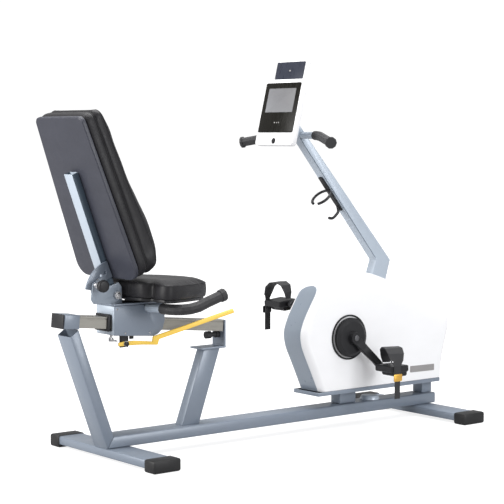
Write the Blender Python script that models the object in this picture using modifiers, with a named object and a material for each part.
# Recumbent exercise bike: steel base frame, seat carriage on an aluminium rail,
# reclining backrest, enclosed crank drive with flywheel, and a console on a mast.
# Metres, +Z up. +X points from the seat to the pedals, +Y to the rider's left.

import math

import bmesh
import bpy
from mathutils import Matrix, Vector

# ---------------------------------------------------------------- dimensions
CENTRE_X = 0.67136          # middle of the overall length, moved to X = 0
FLOOR_CLEAR = 0.010       # underside of the cross tubes
CROSS_TOP = 0.038         # top of the cross tubes
CROSS_WIDTH = 0.094
CROSS_HALF = 0.262
CAP_IN, CAP_OUT = 0.2440, 0.3000
FRONT_CROSS_X = 1.3315
BEAM_TOP = 0.0763
BEAM_HALF = 0.040
BEAM_END = 1.440
WALL = 0.0025
RAIL_TILT = math.radians(5.2)
RAIL_Z0 = 0.4365          # rail centre height at X = 0 of the build frame
RAIL_HALF_Y = 0.0310
RAIL_HALF_Z = 0.0185
RAIL_X0, RAIL_X1 = -0.150, 0.4655
RECLINE = math.radians(20.3)
PIVOT = (0.040, 0.522)    # backrest pivot, X and Z
INDEX_R = 0.082
INDEX_STEP = 12.5
CRANK = (0.990, 0.318)
CRANK_LENGTH = 0.150
CRANK_ANGLE = math.radians(-45.5)
PULLEY_R = 0.110
SMALL_PULLEY_R = 0.018
FLYWHEEL = (1.285, 0.262)
FLYWHEEL_R = 0.095
SHELL_HALF = 0.064
SHELL_WALL = 0.003
CONSOLE_TILT = math.radians(13.9)
CONSOLE_FOOT = (0.7095, 1.030)
GAP = 0.0004

for thing in list(bpy.data.objects):
    bpy.data.objects.remove(thing, do_unlink=True)

scene = bpy.context.scene
bike = bpy.data.collections.new("recumbent_exercise_bike")
tools = bpy.data.collections.new("cutters")
scene.collection.children.link(bike)
scene.collection.children.link(tools)
tools.hide_render = True

SURFACES = {
    "paint": ((0.28, 0.35, 0.42), 0.15, 0.38),
    "light_paint": ((0.52, 0.60, 0.68), 0.15, 0.36),
    "shell": ((0.86, 0.86, 0.88), 0.0, 0.35),
    "black": ((0.022, 0.022, 0.025), 0.0, 0.45),
    "rubber": ((0.018, 0.018, 0.020), 0.0, 0.75),
    "leather": ((0.026, 0.024, 0.028), 0.0, 0.48),
    "board": ((0.095, 0.092, 0.125), 0.0, 0.42),
    "alu": ((0.62, 0.60, 0.57), 1.0, 0.34),
    "steel": ((0.55, 0.55, 0.56), 1.0, 0.30),
    "iron": ((0.16, 0.16, 0.17), 1.0, 0.50),
    "yellow": ((0.80, 0.58, 0.08), 0.0, 0.40),
    "glass": ((0.010, 0.010, 0.010), 0.0, 0.08),
    "screen": ((0.26, 0.27, 0.29), 0.0, 0.25),
}


def surface(name, kind):
    colour, metallic, rough = SURFACES[kind]
    made = bpy.data.materials.new(name)
    made.use_nodes = True
    shader = made.node_tree.nodes["Principled BSDF"]
    shader.inputs["Base Color"].default_value = (*colour, 1.0)
    shader.inputs["Metallic"].default_value = metallic
    shader.inputs["Roughness"].default_value = rough
    return made


def put(name, bm, kind, origin=(0.0, 0.0, 0.0), cutter=False):
    """Turn a bmesh in build coordinates into an object whose origin is the given point."""
    bmesh.ops.recalc_face_normals(bm, faces=bm.faces)
    o = Vector(origin)
    bmesh.ops.translate(bm, verts=bm.verts, vec=-o)
    mesh = bpy.data.meshes.new(name)
    bm.to_mesh(mesh)
    bm.free()
    made = bpy.data.objects.new(name, mesh)
    made.location = o - Vector((CENTRE_X, 0.0, 0.0))
    if cutter:
        tools.objects.link(made)
        made.hide_render = True
        made.display_type = "WIRE"
    else:
        bike.objects.link(made)
        mesh.materials.append(surface(name + "_finish", kind))
    return made


def prism_bm(points, y0, y1):
    """A polygon in the XZ plane, pulled along Y."""
    bm = bmesh.new()
    ring = [bm.verts.new((x, y0, z)) for x, z in points]
    face = bm.faces.new(ring)
    pulled = bmesh.ops.extrude_face_region(bm, geom=[face])
    moved = [g for g in pulled["geom"] if isinstance(g, bmesh.types.BMVert)]
    bmesh.ops.translate(bm, verts=moved, vec=(0.0, y1 - y0, 0.0))
    return bm


def prism(name, points, y0, y1, kind, origin=(0, 0, 0), cutter=False):
    return put(name, prism_bm(points, y0, y1), kind, origin, cutter)


def bevel(made, width, segments=1, angle=40.0):
    mod = made.modifiers.new("edges", "BEVEL")
    mod.width = width
    mod.segments = segments
    mod.limit_method = "ANGLE"
    mod.angle_limit = math.radians(angle)
    mod.use_clamp_overlap = True
    return made


def bevel_along(made, direction, width, segments=2):
    """Round only the edges that run along the given direction, as on drawn tube."""
    mesh = made.data
    weights = mesh.attributes.new("bevel_weight_edge", "FLOAT", "EDGE")
    direction = Vector(direction).normalized()
    for edge in mesh.edges:
        a, b = (mesh.vertices[v].co for v in edge.vertices)
        run = (b - a).normalized()
        weights.data[edge.index].value = 1.0 if abs(run.dot(direction)) > 0.97 else 0.0
    mod = made.modifiers.new("edges", "BEVEL")
    mod.width = width
    mod.segments = segments
    mod.limit_method = "WEIGHT"
    mod.use_clamp_overlap = True
    return made


def cut(made, *cutters):
    for number, other in enumerate(cutters):
        mod = made.modifiers.new("cut%d" % number, "BOOLEAN")
        mod.operation = "DIFFERENCE"
        mod.solver = "EXACT"
        mod.object = other
    return made


def weld(made, *others):
    for number, other in enumerate(others):
        mod = made.modifiers.new("weld%d" % number, "BOOLEAN")
        mod.operation = "UNION"
        mod.solver = "EXACT"
        mod.object = other
    return made


def rod_bm(p0, p1, r0, r1=None, sides=20):
    p0, p1 = Vector(p0), Vector(p1)
    r1 = r0 if r1 is None else r1
    axis = p1 - p0
    bm = bmesh.new()
    bmesh.ops.create_cone(
        bm, cap_ends=True, segments=sides, radius1=r0, radius2=r1, depth=axis.length
    )
    turn = axis.to_track_quat("Z", "Y").to_matrix().to_4x4()
    bmesh.ops.transform(bm, matrix=Matrix.Translation((p0 + p1) / 2) @ turn, verts=bm.verts)
    return bm


def rod(name, p0, p1, r0, kind, r1=None, sides=20, origin=(0, 0, 0), cutter=False):
    return put(name, rod_bm(p0, p1, r0, r1, sides), kind, origin, cutter)


def box(name, lo, hi, kind, origin=(0, 0, 0), cutter=False):
    bm = bmesh.new()
    bmesh.ops.create_cube(bm, size=1.0)
    lo, hi = Vector(lo), Vector(hi)
    size = hi - lo
    bmesh.ops.scale(bm, vec=size, verts=bm.verts)
    bmesh.ops.translate(bm, vec=(lo + hi) / 2, verts=bm.verts)
    return put(name, bm, kind, origin, cutter)


def lathe(name, profile, centre, kind, steps=32, cutter=False):
    """Profile of (radius, y) pairs turned about the Y axis through centre (X, Z)."""
    loop = profile + profile[:1]
    area = sum(r0 * y1 - r1 * y0 for (r0, y0), (r1, y1) in zip(loop, loop[1:]))
    if area > 0:
        profile = profile[::-1]
    bm = bmesh.new()
    last = None
    for radius, y in profile:
        vert = bm.verts.new((radius, y, 0.0))
        if last is not None:
            bm.edges.new((last, vert))
        last = vert
    mesh = bpy.data.meshes.new(name)
    bm.to_mesh(mesh)
    bm.free()
    made = bpy.data.objects.new(name, mesh)
    made.location = (centre[0] - CENTRE_X, 0.0, centre[1])
    mod = made.modifiers.new("turn", "SCREW")
    mod.axis = "Y"
    mod.steps = mod.render_steps = steps
    mod.use_merge_vertices = True
    mod.merge_threshold = 0.00005
    if cutter:
        tools.objects.link(made)
        made.hide_render = True
        made.display_type = "WIRE"
    else:
        bike.objects.link(made)
        mesh.materials.append(surface(name + "_finish", kind))
    return made


def rounded_path(points, radius, steps=4):
    """Corner points with each inner corner replaced by an arc-like run."""
    points = [Vector(p) for p in points]
    out = [points[0]]
    for before, here, after in zip(points, points[1:], points[2:]):
        a, b = before - here, after - here
        reach = min(radius, a.length * 0.49, b.length * 0.49)
        start, end = here + a.normalized() * reach, here + b.normalized() * reach
        for i in range(steps + 1):
            t = i / steps
            out.append(start.lerp(here, t).lerp(here.lerp(end, t), t))
    out.append(points[-1])
    return out


def sweep(name, points, radius, kind, radii=None, resolution=3, origin=(0, 0, 0), cutter=False):
    """A round bar along points, from a bevelled poly curve made into a mesh."""
    curve = bpy.data.curves.new(name + "_path", "CURVE")
    curve.dimensions = "3D"
    curve.bevel_depth = radius
    curve.bevel_resolution = resolution
    curve.use_fill_caps = True
    spline = curve.splines.new("POLY")
    spline.points.add(len(points) - 1)
    for i, point in enumerate(points):
        spline.points[i].co = (*point, 1.0)
        spline.points[i].radius = 1.0 if radii is None else radii[i]
    path = bpy.data.objects.new(name + "_path", curve)
    tools.objects.link(path)
    graph = bpy.context.evaluated_depsgraph_get()
    mesh = bpy.data.meshes.new_from_object(path.evaluated_get(graph))
    bpy.data.objects.remove(path, do_unlink=True)
    bpy.data.curves.remove(curve)
    bm = bmesh.new()
    bm.from_mesh(mesh)
    bpy.data.meshes.remove(mesh)
    bmesh.ops.remove_doubles(bm, verts=bm.verts, dist=0.00002)
    return put(name, bm, kind, origin, cutter)


def arc(centre, radius, start, stop, steps):
    cx, cz = centre
    return [
        (
            cx + radius * math.cos(math.radians(start + (stop - start) * i / steps)),
            cz + radius * math.sin(math.radians(start + (stop - start) * i / steps)),
        )
        for i in range(steps + 1)
    ]


def on_rail(x, z):
    c, s = math.cos(RAIL_TILT), math.sin(RAIL_TILT)
    return (x * c + z * s, RAIL_Z0 - x * s + z * c)


def on_back(x, z):
    c, s = math.cos(RECLINE), math.sin(RECLINE)
    return (PIVOT[0] + x * c - z * s, PIVOT[1] + x * s + z * c)


def on_seat(x, z):
    t = math.radians(3.0)
    c, s = math.cos(t), math.sin(t)
    return (0.068 + x * c + z * s, 0.5160 - x * s + z * c)


def on_console(s, d):
    """s up the console face from the foot of the glass, d behind the face."""
    up = (math.sin(CONSOLE_TILT), math.cos(CONSOLE_TILT))
    back = (math.cos(CONSOLE_TILT), -math.sin(CONSOLE_TILT))
    return (
        CONSOLE_FOOT[0] + up[0] * s + back[0] * d,
        CONSOLE_FOOT[1] + up[1] * s + back[1] * d,
    )


def slab(name, place, x0, x1, z0, z1, y0, y1, kind, origin=(0, 0, 0), cutter=False):
    pts = [place(x0, z0), place(x1, z0), place(x1, z1), place(x0, z1)]
    return prism(name, pts, y0, y1, kind, origin, cutter)


# ---------------------------------------------------------------- base frame
def cross_tube(name, x0):
    tube = box(name, (x0, -CROSS_HALF, FLOOR_CLEAR), (x0 + CROSS_WIDTH, CROSS_HALF, CROSS_TOP - GAP), "paint")
    bevel_along(tube, (0, 1, 0), 0.005)
    bore = box(
        name + "_bore",
        (x0 + WALL, -CROSS_HALF - 0.01, FLOOR_CLEAR + WALL),
        (x0 + CROSS_WIDTH - WALL, CROSS_HALF + 0.01, CROSS_TOP - GAP - WALL),
        "paint",
        cutter=True,
    )
    return cut(tube, bore)


cross_tube("rear_stabiliser", 0.0)
cross_tube("front_stabiliser", FRONT_CROSS_X)


def foot_cap(name, x0, side):
    """Plastic shoe over the tube end: a cup with a hollow for the tube."""
    lo, hi = sorted((side * CAP_IN, side * CAP_OUT))
    shoe = box(name, (x0 - 0.004, lo, 0.0), (x0 + CROSS_WIDTH + 0.004, hi, 0.0405), "black")
    bevel(shoe, 0.007, 2)
    lo, hi = sorted((side * (CAP_IN - 0.02), side * (CROSS_HALF + GAP)))
    hollow = box(
        name + "_hollow",
        (x0 - GAP, lo, FLOOR_CLEAR - GAP),
        (x0 + CROSS_WIDTH + GAP, hi, CROSS_TOP),
        "black",
        cutter=True,
    )
    return cut(shoe, hollow)


foot_cap("foot_cap_rear_right", 0.0, -1)
foot_cap("foot_cap_rear_left", 0.0, 1)
foot_cap("foot_cap_front_right", FRONT_CROSS_X, -1)
foot_cap("foot_cap_front_left", FRONT_CROSS_X, 1)

beam = prism(
    "main_beam",
    [(0.0006, CROSS_TOP), (BEAM_END, CROSS_TOP), (BEAM_END, BEAM_TOP), (0.0262, BEAM_TOP)],
    -BEAM_HALF,
    BEAM_HALF,
    "paint",
)
bevel_along(beam, (1, 0, 0), 0.005)
cut(
    beam,
    box(
        "main_beam_bore",
        (-0.05, -BEAM_HALF + WALL, CROSS_TOP + WALL),
        (BEAM_END + 0.05, BEAM_HALF - WALL, BEAM_TOP - WALL),
        "paint",
        cutter=True,
    ),
)

lean = (-0.3439, 0.9390)
side_step = (0.0366 * 0.9390, 0.0366 * 0.3439)


def up_rear(t, across=0.0):
    return (
        lean[0] * t + side_step[0] * across,
        0.0400 + lean[1] * t + side_step[1] * across,
    )


post = prism(
    "rear_post",
    [(-0.0002, CROSS_TOP + 0.0012), (0.0253, BEAM_TOP + 0.0004), up_rear(0.394, 1.0), up_rear(0.384, 0.0)],
    -BEAM_HALF,
    BEAM_HALF,
    "paint",
)
bevel_along(post, (lean[0], 0, lean[1]), 0.005)
cut(
    post,
    prism(
        "rear_post_bore",
        [up_rear(-0.06, 0.07), up_rear(-0.06, 0.93), up_rear(0.46, 0.93), up_rear(0.46, 0.07)],
        -BEAM_HALF + WALL,
        BEAM_HALF - WALL,
        "paint",
        cutter=True,
    ),
)

front_post = prism(
    "front_post",
    [(0.3030, BEAM_TOP + GAP), (0.3740, BEAM_TOP + GAP), (0.4600, 0.3195), (0.3925, 0.3195)],
    -0.020,
    0.020,
    "paint",
)
bevel_along(front_post, (0.35, 0, 0.937), 0.004)
cut(
    front_post,
    prism(
        "front_post_bore",
        [(0.2948 + 0.003, 0.052), (0.3660 - 0.003, 0.052), (0.4730 - 0.003, 0.354), (0.4060 + 0.003, 0.354)],
        -0.0175,
        0.0175,
        "paint",
        cutter=True,
    ),
)

bracket_outline = [
    (0.3750, 0.3200),
    (0.4735, 0.3200),
    (0.4735, 0.4130),
    (0.4675, 0.4130),
    (0.4675, 0.3260),
    (0.3750, 0.3260),
]
rail_bracket = prism("rail_front_bracket", bracket_outline, -0.034, 0.034, "paint")
bevel(rail_bracket, 0.0012, 1)

stop_profile = [
    (0.0, 0.4150),
    (0.0125, 0.4150),
    (0.0125, 0.4330),
    (0.0080, 0.4330),
    (0.0080, 0.4560),
    (0.0115, 0.4560),
    (0.0115, 0.4671),
    (0.0, 0.4671),
]
stop_bm = bmesh.new()
for (r0, x0), (r1, x1) in zip(stop_profile[1:-1:2], stop_profile[2::2]):
    piece = rod_bm((x0 - (0.0 if x0 == 0.4150 else 0.002), 0, 0.3632), (x1, 0, 0.3632), r0, sides=18)
    scrap = bpy.data.meshes.new("scrap")
    piece.to_mesh(scrap)
    piece.free()
    if x0 == 0.4150:
        stop_bm.from_mesh(scrap)
        rail_stop = put("rail_stop", stop_bm, "rubber")
    else:
        extra = bmesh.new()
        extra.from_mesh(scrap)
        weld(rail_stop, put("rail_stop_piece_%d" % round(x0 * 1000), extra, "rubber", cutter=True))
    bpy.data.meshes.remove(scrap)

# ------------------------------------------------------------------- rail
h, w = RAIL_HALF_Z, RAIL_HALF_Y
rail_section = [
    (-w, -h), (w, -h), (w, h - 0.0085), (w - 0.003, h - 0.0085), (w - 0.003, h - 0.0050),
    (w, h - 0.0050), (w, h), (-w, h), (-w, h - 0.0050), (-w + 0.003, h - 0.0050),
    (-w + 0.003, h - 0.0085), (-w, h - 0.0085),
]
bm = bmesh.new()
ring = []
for y, z in rail_section:
    px, pz = on_rail(RAIL_X0, z)
    ring.append(bm.verts.new((px, y, pz)))
face = bm.faces.new(ring)
pulled = bmesh.ops.extrude_face_region(bm, geom=[face])
moved = [g for g in pulled["geom"] if isinstance(g, bmesh.types.BMVert)]
reach = RAIL_X1 - RAIL_X0
bmesh.ops.translate(
    bm, verts=moved, vec=(reach * math.cos(RAIL_TILT), 0.0, -reach * math.sin(RAIL_TILT))
)
rail = put("seat_rail", bm, "alu")
rail_bore = slab(
    "seat_rail_bore", on_rail, RAIL_X0 - 0.02, RAIL_X1 + 0.02, -h + 0.0045, h - 0.011, -w + 0.0045, w - 0.0045,
    "alu", cutter=True,
)
cut(rail, rail_bore)
collar = slab("rail_rear_collar", on_rail, -0.1515, -0.0950, -h - 0.0040, h + 0.0040, -0.0352, 0.0352, "paint")
bevel(collar, 0.003, 2)
cut(
    collar,
    slab(
        "rail_rear_collar_bore", on_rail, -0.20, -0.05, -h - GAP, h + GAP, -w - GAP, w + GAP, "paint", cutter=True
    ),
)
end_cap = slab("rail_end_cap", on_rail, -0.1560, -0.1520, -h - 0.0040, h + 0.0040, -0.0352, 0.0352, "black")
bevel(end_cap, 0.0012, 1)

# ------------------------------------------------------------------ housing
SHELL_POINTS = [
    # side face, shoulder, crown: (x, z) for each
    ((0.8790, 0.1355), (0.8665, 0.1355), (0.8665, 0.1355)),
    ((0.8447, 0.2153), (0.8295, 0.2150), (0.8295, 0.2150)),
    ((0.8129, 0.2803), (0.7985, 0.2800), (0.7985, 0.2800)),
    ((0.8030, 0.3110), (0.7890, 0.3120), (0.7885, 0.3120)),
    ((0.8010, 0.3360), (0.7868, 0.3360), (0.7862, 0.3360)),
    ((0.8060, 0.3620), (0.7920, 0.3610), (0.7912, 0.3610)),
    ((0.8215, 0.3968), (0.8085, 0.3985), (0.8080, 0.3990)),
    ((0.8574, 0.4564), (0.8460, 0.4590), (0.8450, 0.4600)),
    ((0.8730, 0.4790), (0.8640, 0.4840), (0.8630, 0.4860)),
    ((0.8936, 0.4940), (0.8900, 0.5020), (0.8880, 0.5040)),
    ((0.9257, 0.5005), (0.9300, 0.5130), (0.9300, 0.5180)),
    ((0.9720, 0.5068), (0.9850, 0.5230), (0.9880, 0.5320)),
    ((1.0080, 0.5030), (1.0350, 0.5250), (1.0450, 0.5385)),
    ((1.0660, 0.4891), (1.0900, 0.5130), (1.0950, 0.5370)),
    ((1.1671, 0.4582), (1.1700, 0.4880), (1.1500, 0.5255)),
    ((1.2457, 0.4317), (1.2500, 0.4615), (1.2500, 0.4905)),
    ((1.3257, 0.4049), (1.3350, 0.4320), (1.3400, 0.4580)),
    ((1.3969, 0.3782), (1.4100, 0.4040), (1.4200, 0.4290)),
    ((1.4480, 0.3590), (1.4620, 0.3830), (1.4720, 0.4050)),
    ((1.4700, 0.3470), (1.4850, 0.3660), (1.4930, 0.3850)),
    ((1.4770, 0.3300), (1.4930, 0.3400), (1.5000, 0.3500)),
    ((1.4749, 0.3063), (1.4910, 0.3063), (1.4980, 0.3063)),
    ((1.4476, 0.2086), (1.4630, 0.2086), (1.4700, 0.2086)),
    ((1.4410, 0.1355), (1.4560, 0.1355), (1.4620, 0.1355)),
]
SHELL_LEVELS = (SHELL_HALF, 0.0475, 0.0280, 0.0003)


def housing_half(name, side):
    bm = bmesh.new()
    loops = []
    for level, index in zip(SHELL_LEVELS, (0, 1, 2, 2)):
        loops.append([bm.verts.new((row[index][0], side * level, row[index][1])) for row in SHELL_POINTS])
    bm.faces.new(loops[0])
    for low, high in zip(loops, loops[1:]):
        for i in range(len(low) - 1):
            bm.faces.new((low[i], low[i + 1], high[i + 1], high[i]))
    half = put(name, bm, "shell")
    # every face of the open skin has to look outwards before the wall is added inwards
    mesh = half.data
    bm = bmesh.new()
    bm.from_mesh(mesh)
    bm.faces.ensure_lookup_table()
    if bm.faces[0].normal.y * side < 0:
        bmesh.ops.reverse_faces(bm, faces=bm.faces)
    bm.to_mesh(mesh)
    bm.free()
    wall = half.modifiers.new("wall", "SOLIDIFY")
    wall.thickness = SHELL_WALL
    wall.offset = -1.0
    wall.use_even_offset = True
    wall.use_quality_normals = True
    lo, hi = sorted((side * 0.03, side * 0.09))
    axle = rod(
        name + "_axle_hole", (CRANK[0], lo, CRANK[1]), (CRANK[0], hi, CRANK[1]), 0.0140, "shell", sides=20, cutter=True
    )
    cut(half, axle, mast_hole, trim_hole)
    return half


mast_hole = prism(
    "mast_hole",
    [(1.1078, 0.4300), (1.1422, 0.5274), (1.1540, 0.5610), (1.2262, 0.5610), (1.2084, 0.5036), (1.1935, 0.4555)],
    -0.0213,
    0.0213,
    "shell",
    cutter=True,
)
trim_hole = prism(
    "trim_hole",
    [(0.750, 0.128), (0.900, 0.128), (0.860, 0.300), (0.885, 0.4920), (0.750, 0.4920)],
    -0.0443,
    0.0443,
    "shell",
    cutter=True,
)
housing_half("housing_right", -1)
housing_half("housing_left", 1)

trim_outer = [
    (0.8665, 0.1365), (0.8295, 0.2150), (0.7985, 0.2800), (0.7885, 0.3120), (0.7862, 0.3360),
    (0.7912, 0.3610), (0.8080, 0.3990), (0.8450, 0.4600), (0.8630, 0.4855),
]
trim_inner = [
    (0.8695, 0.4845), (0.8485, 0.4585), (0.8115, 0.3975), (0.7950, 0.3600), (0.7900, 0.3360),
    (0.7922, 0.3130), (0.8020, 0.2815), (0.8330, 0.2165), (0.8705, 0.1365),
]
trim = prism("housing_rear_trim", trim_outer + trim_inner, -0.0438, 0.0438, "paint")

tray = prism(
    "housing_tray",
    [(0.850, 0.1215), (1.437, 0.1215), (1.437, 0.1347), (0.850, 0.1347)],
    -0.0660,
    0.0660,
    "paint",
)
cut(tray, box("tray_hollow", (0.8535, -0.0630, 0.1240), (1.4335, 0.0630, 0.15), "paint", cutter=True))
weld(
    tray,
    bevel(box("tray_leg_rear", (0.9855, -0.025, BEAM_TOP + GAP), (1.0610, 0.025, 0.1225), "paint", cutter=True), 0.004, 2),
    bevel(box("tray_leg_front", (1.3875, -0.025, BEAM_TOP + GAP), (1.4370, 0.025, 0.1225), "paint", cutter=True), 0.004, 2),
)

cover = rod("beam_cover", (1.150, 0, BEAM_TOP + GAP), (1.150, 0, 0.0900), 0.036, "light_paint", r1=0.030, sides=28)

# ------------------------------------------------------------ drive internals
frame_plate = prism(
    "drive_frame_plate",
    [
        (0.950, 0.1245), (1.410, 0.1245), (1.410, 0.2900), (1.330, 0.3450), (1.200, 0.3988),
        (1.080, 0.4390), (1.040, 0.3900), (0.955, 0.3520),
    ],
    -0.006,
    0.006,
    "iron",
)
cut(
    frame_plate,
    rod("frame_plate_bore_a", (CRANK[0], -0.02, CRANK[1]), (CRANK[0], 0.02, CRANK[1]), 0.0203, "iron", sides=24, cutter=True),
    rod("frame_plate_bore_b", (FLYWHEEL[0], -0.02, FLYWHEEL[1]), (FLYWHEEL[0], 0.02, FLYWHEEL[1]), 0.0085, "iron", sides=16, cutter=True),
)
lathe(
    "crank_bearing",
    [(0.0099, -0.0240), (0.0200, -0.0240), (0.0200, 0.0240), (0.0099, 0.0240), (0.0099, -0.0240)],
    CRANK,
    "steel",
    steps=24,
)


def belt_outline(a, ra, b, rb, steps):
    (ax, az), (bx, bz) = a, b
    away = math.degrees(math.atan2(bz - az, bx - ax))
    spread = math.degrees(math.acos((ra - rb) / math.hypot(bx - ax, bz - az)))
    big = arc(a, ra, away + spread, away + 360 - spread, steps)
    small = arc(b, rb, away - spread, away + spread, max(4, steps // 3))
    return big + small


belt = prism("drive_belt", belt_outline(CRANK, PULLEY_R + 0.0022, FLYWHEEL, SMALL_PULLEY_R + 0.0022, 30), 0.0275, 0.0405, "rubber")
cut(
    belt,
    prism(
        "drive_belt_inside",
        belt_outline(CRANK, PULLEY_R + 0.0006, FLYWHEEL, SMALL_PULLEY_R + 0.0006, 30),
        0.020,
        0.050,
        "rubber",
        cutter=True,
    ),
)
brake = box("brake_unit", (1.3450, -0.0560, 0.2300), (1.4080, -0.0066, 0.2860), "black")
cut(
    brake,
    rod(
        "brake_slot",
        (FLYWHEEL[0], -0.0510, FLYWHEEL[1]),
        (FLYWHEEL[0], -0.0230, FLYWHEEL[1]),
        FLYWHEEL_R + 0.003,
        "black",
        sides=40,
        cutter=True,
    ),
)
lathe(
    "flywheel",
    [
        (0.0, -0.0505), (0.008, -0.0505), (0.008, -0.0480), (0.028, -0.0480), (0.028, -0.0430),
        (0.072, -0.0430), (0.072, -0.0480), (FLYWHEEL_R, -0.0480), (FLYWHEEL_R, -0.0260),
        (0.072, -0.0260), (0.072, -0.0310), (0.028, -0.0310), (0.028, -0.0260), (0.0080, -0.0260),
        (0.0080, 0.0255), (SMALL_PULLEY_R, 0.0255), (SMALL_PULLEY_R, 0.0425), (0.0080, 0.0425),
        (0.0080, 0.0500), (0.0, 0.0500),
    ],
    FLYWHEEL,
    "iron",
    steps=40,
)

# -------------------------------------------------------------------- cranks
lathe(
    "crank_axle",
    [
        (0.0, -0.0835), (0.0094, -0.0835), (0.0094, 0.0255), (PULLEY_R, 0.0255),
        (PULLEY_R, 0.0425), (0.096, 0.0425), (0.096, 0.0370), (0.030, 0.0370), (0.030, 0.0425),
        (0.0094, 0.0425), (0.0094, 0.0835), (0.0, 0.0835),
    ],
    CRANK,
    "iron",
    steps=40,
)


def crank(name, side):
    angle = CRANK_ANGLE if side < 0 else CRANK_ANGLE + math.pi
    ux, uz = math.cos(angle), math.sin(angle)
    nx, nz = -uz, ux
    cx, cz = CRANK
    origin = (cx, 0.0, cz)
    disc = put(
        name,
        rod_bm((cx, side * 0.0695, cz), (cx, side * 0.0800, cz), 0.0690, sides=40),
        "black",
        origin,
    )
    weld(
        disc,
        rod(name + "_dome", (cx, side * 0.0790, cz), (cx, side * 0.0875, cz), 0.0675, "black", r1=0.056, sides=40, cutter=True),
        rod(name + "_hub", (cx, side * 0.0860, cz), (cx, side * 0.1060, cz), 0.0225, "black", r1=0.0205, sides=24, cutter=True),
    )
    bm = bmesh.new()
    rows = [(0.0, 0.0175, 0.0870, 0.1020), (0.055, 0.0150, 0.0935, 0.1090), (0.110, 0.0130, 0.1050, 0.1210), (CRANK_LENGTH + 0.013, 0.0125, 0.1080, 0.1250)]
    last = None
    rings = []
    for t, half, inner, outer in rows:
        px, pz = cx + ux * t, cz + uz * t
        rings.append(
            [
                bm.verts.new((px + nx * half * sx, side * y, pz + nz * half * sx))
                for sx, y in ((-1, inner), (1, inner), (1, outer), (-1, outer))
            ]
        )
    for a, b in zip(rings, rings[1:]):
        for i in range(4):
            bm.faces.new((a[i], a[(i + 1) % 4], b[(i + 1) % 4], b[i]))
    bm.faces.new(rings[0])
    bm.faces.new(rings[-1][::-1])
    arm = put(name + "_arm", bm, "black", cutter=True)
    bevel(arm, 0.0035, 2, 30)
    ex, ez = cx + ux * CRANK_LENGTH, cz + uz * CRANK_LENGTH
    spindle = rod(name + "_spindle", (ex, side * 0.1200, ez), (ex, side * 0.2000, ez), 0.0060, "black", sides=16, cutter=True)
    weld(disc, arm, spindle)
    seat = rod(name + "_bore", (cx, side * 0.05, cz), (cx, side * 0.0840, cz), 0.0098, "black", sides=20, cutter=True)
    cut(disc, seat)
    return (ex, ez)


PEDAL_R = crank("crank_right", -1)
PEDAL_L = crank("crank_left", 1)
for label, side in (("right", -1), ("left", 1)):
    lathe(
        "crank_ring_" + label,
        [(0.0735, side * 0.0644), (0.0790, side * 0.0644), (0.0790, side * 0.0680), (0.0735, side * 0.0680), (0.0735, side * 0.0644)],
        CRANK,
        "black",
        steps=40,
    )


def pedal(label, side, centre, pitch):
    ex, ez = centre
    origin = (ex, side * 0.180, ez)
    lo, hi = sorted((side * 0.1350, side * 0.2200))

    def turn(points):
        c, s = math.cos(pitch), math.sin(pitch)
        return [(ex + x * c - z * s, ez + x * s + z * c) for x, z in points]

    deck = prism(
        "pedal_" + label,
        turn([(-0.045, -0.006), (-0.040, -0.009), (0.031, -0.009), (0.036, -0.005), (0.036, 0.011), (0.031, 0.014), (-0.041, 0.014), (-0.045, 0.010)]),
        lo,
        hi,
        "black",
        origin,
    )
    bevel(deck, 0.0025, 1, 60)
    lo, hi = sorted((side * 0.1440, side * 0.2120))
    keel = prism(
        "pedal_keel_" + label,
        turn([(-0.014, -0.024), (-0.020, -0.018), (-0.020, 0.0), (0.034, 0.0), (0.034, -0.020), (0.028, -0.024)]),
        lo,
        hi,
        "black",
        cutter=True,
    )
    weld(deck, keel)
    bore = rod("pedal_bore_" + label, (ex, side * 0.120, ez), (ex, side * 0.2010, ez), 0.0064, "black", sides=16, cutter=True)
    cut(deck, bore)

    # toe strap: a band over the foot from the outer rear to the inner front corner
    band = bmesh.new()
    path = [
        (0.000, -0.038, 0.012), (0.000, 0.016, 0.013), (0.003, 0.034, 0.024), (0.010, 0.056, 0.030),
        (0.028, 0.072, 0.033), (0.056, 0.074, 0.033), (0.074, 0.064, 0.030), (0.083, 0.040, 0.022),
        (0.085, 0.018, 0.014),
    ]
    along = Vector((0.30, -side * 0.954, 0.0))
    width_dir = Vector((0.954, side * 0.30, 0.0))
    thick = 0.0030
    rings = []
    for i, (s, zz, half) in enumerate(path):
        before = path[max(i - 1, 0)]
        after = path[min(i + 1, len(path) - 1)]
        run, rise = after[0] - before[0], after[1] - before[1]
        size = math.hypot(run, rise)
        normal = along * (-rise / size) + Vector((0, 0, run / size))
        mid = Vector((ex - 0.024, side * 0.2240, ez)) + along * s + Vector((0, 0, zz))
        rings.append(
            [
                band.verts.new(mid - width_dir * half),
                band.verts.new(mid + width_dir * half),
                band.verts.new(mid + width_dir * half + normal * thick),
                band.verts.new(mid - width_dir * half + normal * thick),
            ]
        )
    for a, b in zip(rings, rings[1:]):
        for i in range(4):
            band.faces.new((a[i], a[(i + 1) % 4], b[(i + 1) % 4], b[i]))
    band.faces.new(rings[0])
    band.faces.new(rings[-1][::-1])
    strap = put("pedal_strap_" + label, band, "rubber", origin)
    lo, hi = sorted((side * 0.05, side * 0.2205))
    clear = prism(
        "strap_clear_" + label,
        turn([(-0.0455, -0.0095), (0.0365, -0.0095), (0.0365, 0.0145), (-0.0455, 0.0145)]),
        lo,
        hi,
        "rubber",
        cutter=True,
    )
    tail = box(
        "strap_tail_" + label,
        (ex - 0.036, min(side * 0.2245, side * 0.2270), ez - 0.098),
        (ex - 0.012, max(side * 0.2245, side * 0.2270), ez - 0.020),
        "rubber",
        cutter=True,
    )
    cut(strap, clear)
    weld(strap, tail)
    return deck


pedal("right", -1, PEDAL_R, 0.0)
pedal("left", 1, PEDAL_L, math.radians(6.0))

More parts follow.
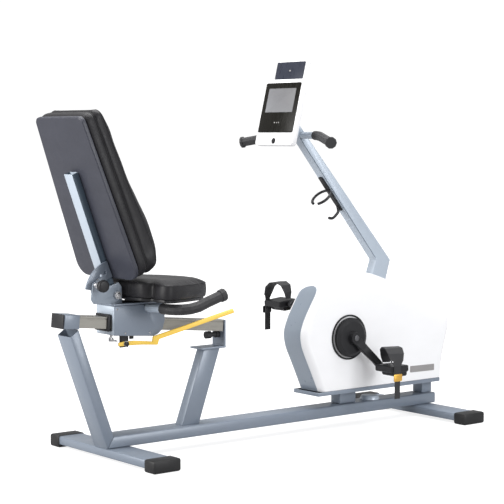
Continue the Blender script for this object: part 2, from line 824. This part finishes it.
# --------------------------------------------------------------------- mast
mast = prism(
    "mast",
    [
        (0.7620, 1.0610), (0.7970, 1.0180), (1.1616, 0.5780), (1.1436, 0.5270), (1.1093, 0.4300),
        (1.1780, 0.4070), (1.2070, 0.5040), (1.2290, 0.5748), (0.8190, 1.0370), (0.7900, 1.0700),
    ],
    -0.020,
    0.020,
    "light_paint",
)
bevel(mast, 0.0025, 1, 50)
cut(
    mast,
    prism(
        "mast_bore",
        [
            (0.8100, 1.0075), (1.1655, 0.5785), (1.1465, 0.5265), (1.1000, 0.3950), (1.1710, 0.3700),
            (1.2035, 0.5045), (1.2245, 0.5735), (0.8380, 1.0090),
        ],
        -0.0175,
        0.0175,
        "light_paint",
        cutter=True,
    ),
    rod("handlebar_hole", (0.8140, -0.05, 1.0200), (0.8140, 0.05, 1.0200), 0.0129, "light_paint", sides=24, cutter=True),
)


def bar_line(side, end=0.0, inner=0.0):
    """Centre line of the handlebar from one end to its middle part."""
    tip, bend = Vector((0.7545, side * 0.2350, 0.9960)), Vector((0.8140, side * 0.1040, 1.0200))
    tip += (tip - bend).normalized() * end
    return rounded_path([tip, bend, (0.8140, side * inner, 1.0200)], 0.026, 4)


sweep("handlebar", bar_line(-1, inner=0.03) + bar_line(1, inner=0.03)[::-1], 0.0125, "light_paint", resolution=3)


def hand_grip(name, side):
    line = bar_line(side, end=0.004)
    tip, along = line[0], (line[1] - line[0]).normalized()
    body = [p for p in line[1:] if abs(p.y) > 0.0860] + [Vector((0.8140, side * 0.0860, 1.0200))]
    run = [tip, tip + along * 0.0012, tip + along * 0.0085, tip + along * 0.0100, tip + along * 0.0140] + body
    radii = [0.0180, 0.0200, 0.0200, 0.0170, 0.0158] + [0.0158] * len(body)
    grip = sweep(name, run, 1.0, "rubber", radii=radii, resolution=3)
    bore = sweep(name + "_bore", bar_line(side, end=0.0004, inner=0.05), 0.0129, "rubber", resolution=3, cutter=True)
    return cut(grip, bore)


hand_grip("hand_grip_right", -1)
hand_grip("hand_grip_left", 1)

# ------------------------------------------------------------------ console


def rounded_slab(name, s0, s1, half, d0, d1, radius, kind, origin=(0, 0, 0), cutter=False, steps=4):
    """A plate parallel to the console face with rounded corners."""
    outline = []
    for cy, cs, start in (
        (half - radius, s1 - radius, 0), (-(half - radius), s1 - radius, 90),
        (-(half - radius), s0 + radius, 180), (half - radius, s0 + radius, 270),
    ):
        for i in range(steps + 1):
            a = math.radians(start + 90 * i / steps)
            outline.append((cy + radius * math.cos(a), cs + radius * math.sin(a)))
    bm = bmesh.new()
    ring = []
    for y, s in outline:
        px, pz = on_console(s, d0)
        ring.append(bm.verts.new((px, y, pz)))
    face = bm.faces.new(ring)
    pulled = bmesh.ops.extrude_face_region(bm, geom=[face])
    moved = [g for g in pulled["geom"] if isinstance(g, bmesh.types.BMVert)]
    a, b = on_console(0, d0), on_console(0, d1)
    bmesh.ops.translate(bm, verts=moved, vec=(b[0] - a[0], 0.0, b[1] - a[1]))
    return put(name, bm, kind, origin, cutter)


console = rounded_slab("console_body", -0.0435, 0.1860, 0.0980, 0.0, 0.0215, 0.010, "shell")
bevel(console, 0.003, 2, 60)
BUTTON_S = -0.0290
button_in, button_out = on_console(BUTTON_S, 0.0080), on_console(BUTTON_S, -0.02)
weld(
    console,
    bevel(rounded_slab("console_top_housing", 0.1600, 0.2540, 0.0780, 0.0150, 0.0330, 0.007, "shell", cutter=True), 0.002, 1, 60),
    bevel(rounded_slab("console_socket", 0.0020, 0.0520, 0.0240, 0.0180, 0.0420, 0.004, "shell", cutter=True), 0.0015, 1, 60),
)
cut(
    console,
    rod("button_pocket", (button_in[0], 0, button_in[1]), (button_out[0], 0, button_out[1]), 0.0082, "shell", sides=24, cutter=True),
    prism(
        "console_mast_clear",
        [(0.7617, 1.0700), (0.7617, 1.0607), (0.7967, 1.0177), (0.8400, 0.9700), (0.9000, 1.0700)],
        -0.0203,
        0.0203,
        "shell",
        cutter=True,
    ),
)
rounded_slab("console_glass", 0.0, 0.1730, 0.0920, -0.0018, -0.0004, 0.004, "glass", steps=2)
rounded_slab("console_top_panel", 0.1885, 0.2500, 0.0740, 0.0132, 0.0146, 0.004, "glass", steps=2)
b0, b1 = on_console(BUTTON_S, 0.0045), on_console(BUTTON_S, -0.0030)
bm_button = rod_bm((b0[0], 0, b0[1]), (b1[0], 0, b1[1]), 0.0076, 0.0070, 24)
put("console_button", bm_button, "black", (b0[0], 0, b0[1]))

# -------------------------------------------------------------- bottle cage
cage_dir = Vector((0.6375, 0.0, -0.7705))
cage_out = Vector((-0.7705, 0.0, -0.6375))
cage_base = Vector((0.9430, 0.0, 0.8420)) + cage_out * GAP


def cage_point(along, out, y=0.0):
    p = cage_base + cage_dir * along + cage_out * out
    return Vector((p.x, y, p.z))


bm = bmesh.new()
ring = [bm.verts.new(cage_point(a, o, -0.0085)) for a, o in ((-0.045, 0.0003), (0.105, 0.0003), (0.105, 0.0060), (-0.045, 0.0060))]
face = bm.faces.new(ring)
pulled = bmesh.ops.extrude_face_region(bm, geom=[face])
moved = [g for g in pulled["geom"] if isinstance(g, bmesh.types.BMVert)]
bmesh.ops.translate(bm, verts=moved, vec=(0.0, 0.017, 0.0))
cage = put("bottle_cage", bm, "black")
loop = []
for i in range(17):
    a = math.radians(-160 + 320 * i / 16 + 180)
    loop.append(cage_point(0.012, 0.0425 + 0.0360 * math.cos(a), 0.0360 * math.sin(a)))
hook = rounded_path([cage_point(0.085, 0.0060), cage_point(0.104, 0.014), cage_point(0.104, 0.050), cage_point(0.090, 0.062)], 0.012, 3)
weld(
    cage,
    sweep("cage_loop", loop, 0.0048, "black", resolution=2, cutter=True),
    sweep("cage_hook", hook, 0.0050, "black", resolution=2, cutter=True),
)

# ---------------------------------------------------------- seat carriage
CAR_X0, CAR_TOP, CAR_HALF = 0.0215, 0.4885, 0.0515
car_pts = [
    (CAR_X0, 0.3957), (0.1710, 0.3838), (0.1890, 0.3900), (0.2060, 0.4040), (0.2145, 0.4300),
    (0.2145, 0.4700), (0.2080, CAR_TOP), (CAR_X0, CAR_TOP),
]
carriage = prism("carriage_box", car_pts, -CAR_HALF, CAR_HALF, "paint")
bevel(carriage, 0.0020, 1, 30)
hollow_pts = [
    (CAR_X0 + 0.0035, 0.3990), (0.1705, 0.3874), (0.1870, 0.3932), (0.2030, 0.4062), (0.2110, 0.4306),
    (0.2110, 0.4694), (0.2060, CAR_TOP - 0.0035), (CAR_X0 + 0.0035, CAR_TOP - 0.0035),
]
lock_a, lock_b = on_rail(0.046, -0.060), on_rail(0.046, -0.030)
HANDLE_X, HANDLE_Z = 0.1480, 0.4755
cut(
    carriage,
    prism("carriage_hollow", hollow_pts, -CAR_HALF + 0.0035, CAR_HALF - 0.0035, "paint", cutter=True),
    slab("carriage_bore", on_rail, CAR_X0 - 0.05, 0.2600, -0.0245, 0.0245, -0.0365, 0.0365, "paint", cutter=True),
    rod("handle_bore", (HANDLE_X, -0.08, HANDLE_Z), (HANDLE_X, 0.08, HANDLE_Z), 0.0133, "paint", sides=24, cutter=True),
    box("handle_slot", (HANDLE_X - 0.0133, -0.08, HANDLE_Z), (HANDLE_X + 0.0133, 0.08, CAR_TOP + 0.01), "paint", cutter=True),
    rod("lock_pin_hole", (lock_a[0], 0, lock_a[1]), (lock_b[0], 0, lock_b[1]), 0.0058, "paint", sides=16, cutter=True),
)
weld(
    carriage,
    box("lever_lug", (0.0530, -0.0360, 0.3545), (0.0840, -0.0300, 0.3960), "paint", cutter=True),
    box("lever_stop_lug", (0.0900, -0.0360, 0.3790), (0.1040, -0.0300, 0.3935), "paint", cutter=True),
)

guide = slab("carriage_guide_rear", on_rail, 0.0060, 0.0186, -0.0270, 0.0270, -0.0370, 0.0370, "black")
bevel(guide, 0.0020, 1)
cut(guide, slab("guide_bore_rear", on_rail, -0.06, 0.06, -0.0189, 0.0189, -0.0314, 0.0314, "black", cutter=True))

seat_bracket = box("seat_bracket", (0.0225, -0.0500, CAR_TOP + GAP), (0.2000, 0.0500, 0.4940), "paint")
weld(
    seat_bracket,
    box("bracket_upstand_right", (0.0235, -0.0310, 0.4925), (0.0640, -0.0265, 0.5080), "paint", cutter=True),
    box("bracket_upstand_left", (0.0235, 0.0265, 0.4925), (0.0640, 0.0310, 0.5080), "paint", cutter=True),
)

cheek_outline = [
    (-0.0480, 0.5620), (-0.0540, 0.5120), (-0.0440, 0.4985), (0.0240, 0.4945), (0.0600, 0.5120),
    (0.0590, 0.5480), (0.0470, 0.5620), (0.0200, 0.5530), (0.0000, 0.5530), (-0.0160, 0.5680), (-0.0320, 0.5715),
]
far_outline = [
    (0.0040, 0.4975), (0.0240, 0.4945), (0.0600, 0.5120), (0.0590, 0.5480), (0.0470, 0.5620), (0.0200, 0.5530), (0.0040, 0.5530),
]
bolt_hole = rod("pivot_hole", (PIVOT[0], -0.06, PIVOT[1]), (PIVOT[0], 0.06, PIVOT[1]), 0.0084, "paint", sides=20, cutter=True)
INDEX_ANGLE = 155.0
index_at = arc(PIVOT, INDEX_R, INDEX_ANGLE, INDEX_ANGLE, 1)[0]
index_bore = rod("index_bore", (index_at[0], -0.10, index_at[1]), (index_at[0], -0.0280, index_at[1]), 0.0044, "paint", sides=14, cutter=True)
for label, side in (("right", -1), ("left", 1)):
    lo, hi = sorted((side * 0.0315, side * 0.0375))
    cheek = prism("hinge_cheek_" + label, cheek_outline if side < 0 else far_outline, lo, hi, "light_paint")
    bevel(cheek, 0.0010, 1)
    if side < 0:
        weld(
            cheek,
            rod("index_sleeve", (index_at[0], -0.0350, index_at[1]), (index_at[0], -0.0504, index_at[1]), 0.0110, "steel", sides=20, cutter=True),
        )
        cut(cheek, bolt_hole, index_bore)
    else:
        cut(cheek, bolt_hole)
lathe(
    "pivot_bolt",
    [
        (0.0, -0.0465), (0.0120, -0.0465), (0.0120, -0.0380), (0.0080, -0.0380), (0.0080, 0.0380),
        (0.0120, 0.0380), (0.0120, 0.0465), (0.0, 0.0465),
    ],
    PIVOT,
    "steel",
    steps=20,
)
knob = lathe(
    "index_knob",
    [
        (0.0, -0.0840), (0.0160, -0.0840), (0.0195, -0.0800), (0.0195, -0.0680), (0.0160, -0.0628), (0.0136, -0.0628),
        (0.0136, -0.0480), (0.0116, -0.0480), (0.0116, -0.0610), (0.0040, -0.0610), (0.0040, -0.0362), (0.0, -0.0362),
    ],
    index_at,
    "black",
    steps=24,
)

# seat handle: one steel tube across the carriage with a padded end each side


def handle_line(side):
    return [
        Vector((0.3030, side * 0.2400, 0.5215)), Vector((0.2450, side * 0.2400, 0.5035)), Vector((0.2100, side * 0.2385, 0.4905)),
        Vector((0.1850, side * 0.2310, 0.4848)), Vector((0.1660, side * 0.2160, 0.4820)), Vector((0.1540, side * 0.1960, 0.4808)),
        Vector((HANDLE_X, side * 0.1700, 0.4800)), Vector((HANDLE_X, side * 0.1250, 0.4790)), Vector((HANDLE_X, side * 0.0650, HANDLE_Z)),
    ]


full = handle_line(-1) + handle_line(1)[::-1]
sweep("seat_handle", full, 0.0129, "light_paint", resolution=3)
for label, side in (("right", -1), ("left", 1)):
    line = handle_line(side)
    direction = (line[0] - line[1]).normalized()
    end = line[0]
    run = [end + direction * 0.006, end + direction * 0.0050, end - direction * 0.012, end - direction * 0.014] + line[1:7] + [
        Vector((HANDLE_X, side * 0.1320, 0.4792))
    ]
    radii = [0.0180, 0.0205, 0.0200, 0.0172] + [0.0172] * 7
    grip = sweep("seat_grip_" + label, run, 1.0, "rubber", radii=radii, resolution=3)
    bore = sweep("seat_grip_bore_" + label, [end + direction * 0.0005] + line[1:], 0.0133, "rubber", resolution=3, cutter=True)
    cut(grip, bore)

SEAT_OUTLINE = [
    (0.000, 0.000), (0.000, 0.060), (0.001, 0.100), (0.006, 0.122), (0.018, 0.134), (0.030, 0.140), (0.034, 0.150),
    (0.026, 0.180), (0.025, 0.200), (0.031, 0.216), (0.046, 0.2245), (0.070, 0.218), (0.115, 0.195), (0.190, 0.151),
    (0.245, 0.115), (0.282, 0.087), (0.304, 0.053), (0.318, 0.022), (0.322, 0.000),
]


def outline_slab(name, half_outline, z0, z1, kind, origin=(0, 0, 0), cutter=False):
    full_outline = half_outline + [(x, -y) for x, y in half_outline[-2:0:-1]]
    bm = bmesh.new()
    ring = []
    for x, y in full_outline:
        px, pz = on_seat(x, z0)
        ring.append(bm.verts.new((px, y, pz)))
    face = bm.faces.new(ring)
    pulled = bmesh.ops.extrude_face_region(bm, geom=[face])
    moved = [g for g in pulled["geom"] if isinstance(g, bmesh.types.BMVert)]
    a, b = on_seat(0, z0), on_seat(0, z1)
    bmesh.ops.translate(bm, verts=moved, vec=(b[0] - a[0], 0.0, b[1] - a[1]))
    return put(name, bm, kind, origin, cutter)


seat = outline_slab("seat_cushion", SEAT_OUTLINE, 0.0004, 0.0560, "leather")
bevel(seat, 0.010, 3, 60)
pan_outline = [(0.004 + x * 0.965, y * 0.965) for x, y in SEAT_OUTLINE]
pan = outline_slab("seat_pan", pan_outline, -0.0090, 0.0, "black")
cut(pan, box("pan_cheek_clear", (0.00, -0.042, 0.48), (0.0660, 0.042, 0.60), "black", cutter=True))
weld(
    pan,
    box("pan_spacer_rear", (0.1140, -0.0300, 0.4944), (0.1330, 0.0300, 0.5060), "black", cutter=True),
    prism(
        "pan_wedge", [(0.0690, 0.4944), (0.1180, 0.4944), (0.1180, 0.4960), (0.0690, 0.5000)], -0.0180, 0.0180, "black", cutter=True
    ),
    box("pan_spacer_front", (0.1720, -0.0300, 0.4944), (0.1960, 0.0300, 0.5030), "black", cutter=True),
)

# ------------------------------------------------------- seat release lever
LEVER_PIVOT = (0.0700, 0.3665)
lever_pts = [
    (0.0430, 0.3605), (0.0430, 0.3715), (0.0600, 0.3735), (0.1000, 0.3740), (0.1620, 0.3680), (0.1640, 0.3840),
    (0.4210, 0.4625), (0.4250, 0.4490), (0.1830, 0.3740), (0.1780, 0.3565), (0.1000, 0.3595), (0.0600, 0.3595),
]
bm = prism_bm(lever_pts, -0.0435, -0.0370)
for fold in (0.130, 0.170):
    bmesh.ops.bisect_plane(
        bm, geom=bm.verts[:] + bm.edges[:] + bm.faces[:], plane_co=(fold, 0, 0), plane_no=(1, 0, 0)
    )
for vert in bm.verts:
    if vert.co.x > 0.170:
        vert.co.y -= 0.018 + (vert.co.x - 0.170) * 0.317
    elif vert.co.x > 0.130:
        vert.co.y -= (vert.co.x - 0.130) * 0.45
lever = put("seat_lock_lever", bm, "yellow", (LEVER_PIVOT[0], -0.040, LEVER_PIVOT[1]))
bevel(lever, 0.0012, 1, 50)
lever_hole = rod("lever_hole", (LEVER_PIVOT[0], -0.06, LEVER_PIVOT[1]), (LEVER_PIVOT[0], -0.02, LEVER_PIVOT[1]), 0.0044, "yellow", sides=14, cutter=True)
cut(lever, lever_hole)
pin_bolt = rod(
    "lever_bolt", (LEVER_PIVOT[0], -0.0480, LEVER_PIVOT[1]), (LEVER_PIVOT[0], -0.0320, LEVER_PIVOT[1]), 0.0040, "paint", sides=14, cutter=True
)
bolt_head = rod(
    "lever_bolt_head", (LEVER_PIVOT[0], -0.0500, LEVER_PIVOT[1]), (LEVER_PIVOT[0], -0.0440, LEVER_PIVOT[1]), 0.0075, "paint", sides=14, cutter=True
)
weld(carriage, pin_bolt, bolt_head)

p_low, p_high = on_rail(0.046, -0.0500), on_rail(0.046, -0.0215)
pin = rod("seat_lock_pin", (p_low[0], 0, p_low[1]), (p_high[0], 0, p_high[1]), 0.0050, "steel", sides=16, origin=(p_low[0], 0, p_low[1]))
foot_a, foot_b = on_rail(0.046, -0.0610), on_rail(0.046, -0.0490)
pad_a, pad_b = on_rail(0.046, -0.0240), on_rail(0.046, -0.0187)
weld(
    pin,
    rod("lock_pad", (pad_a[0], 0, pad_a[1]), (pad_b[0], 0, pad_b[1]), 0.0130, "steel", sides=20, cutter=True),
    rod("lock_pin_head", (foot_a[0], 0, foot_a[1]), (foot_b[0], 0, foot_b[1]), 0.0090, "steel", sides=16, cutter=True),
    rod("lock_pin_arm", (foot_a[0] + 0.0005, 0.0, foot_a[1] + 0.0045), (foot_a[0] + 0.0005, -0.0355, foot_a[1] + 0.0045), 0.0035, "steel", sides=12, cutter=True),
)

# --------------------------------------------------------------- backrest
back_post = slab("back_post", on_back, -0.0125, 0.0125, -0.0130, 0.4080, -0.0240, 0.0240, "light_paint", origin=(PIVOT[0], 0, PIVOT[1]))
bevel(back_post, 0.0030, 2)
cut(
    back_post,
    slab("back_post_bore", on_back, -0.0100, 0.0100, 0.0200, 0.4300, -0.0215, 0.0215, "light_paint", cutter=True),
    bolt_hole,
)
sector_pts = arc(PIVOT, 0.112, 106, 168, 12) + arc(PIVOT, 0.058, 168, 100, 8)
sector = prism("sector_plate", sector_pts, -0.0300, -0.0245, "paint", origin=(PIVOT[0], 0, PIVOT[1]))
index_holes = []
for k in range(4):
    hx, hz = arc(PIVOT, INDEX_R, INDEX_ANGLE - k * INDEX_STEP, INDEX_ANGLE, 1)[0]
    index_holes.append(
        rod("index_hole_%d" % k, (hx, -0.05, hz), (hx, -0.010, hz), 0.0046, "paint", sides=14, cutter=True)
    )
cut(sector, *index_holes)

BACK_Z0, BACK_Z1 = 0.050, 0.584


def back_half(z):
    t = (z - BACK_Z0) / (BACK_Z1 - BACK_Z0)
    return 0.1650 + (0.1350 - 0.1650) * max(0.0, min(1.0, t))


board_outline = []
for z, radius, start in ((BACK_Z0, 0.045, 270), (BACK_Z1, 0.022, 0)):
    half = back_half(z)
    cz = z + radius if z == BACK_Z0 else z - radius
    for i in range(6):
        a = math.radians(start + 18 * i)
        board_outline.append((half - radius + radius * math.cos(a), cz + radius * math.sin(a)))
full_board = board_outline + [(-y, z) for y, z in board_outline[::-1]]
bm = bmesh.new()
ring = []
for y, z in full_board:
    px, pz = on_back(0.0130, z)
    ring.append(bm.verts.new((px, y, pz)))
face = bm.faces.new(ring)
pulled = bmesh.ops.extrude_face_region(bm, geom=[face])
moved = [g for g in pulled["geom"] if isinstance(g, bmesh.types.BMVert)]
a, b = on_back(0, 0), on_back(0.0150, 0)
bmesh.ops.translate(bm, verts=moved, vec=(b[0] - a[0], 0.0, b[1] - a[1]))
board = put("back_board", bm, "board", (PIVOT[0], 0, PIVOT[1]))
bevel(board, 0.0025, 1, 60)

cushion_profile = [
    (0.0285, 0.056), (0.0285, 0.578), (0.060, 0.586), (0.090, 0.582), (0.104, 0.560), (0.104, 0.450),
    (0.110, 0.350), (0.124, 0.240), (0.130, 0.170), (0.126, 0.110), (0.108, 0.070), (0.070, 0.052),
]
bm = prism_bm([on_back(x, z) for x, z in cushion_profile], -1.0, 1.0)
for vert in bm.verts:
    dx, dz = vert.co.x - PIVOT[0], vert.co.z - PIVOT[1]
    z = -dx * math.sin(RECLINE) + dz * math.cos(RECLINE)
    vert.co.y *= back_half(z) - 0.001
cushion = put("back_cushion", bm, "leather", (PIVOT[0], 0, PIVOT[1]))
bevel(cushion, 0.012, 2, 60)
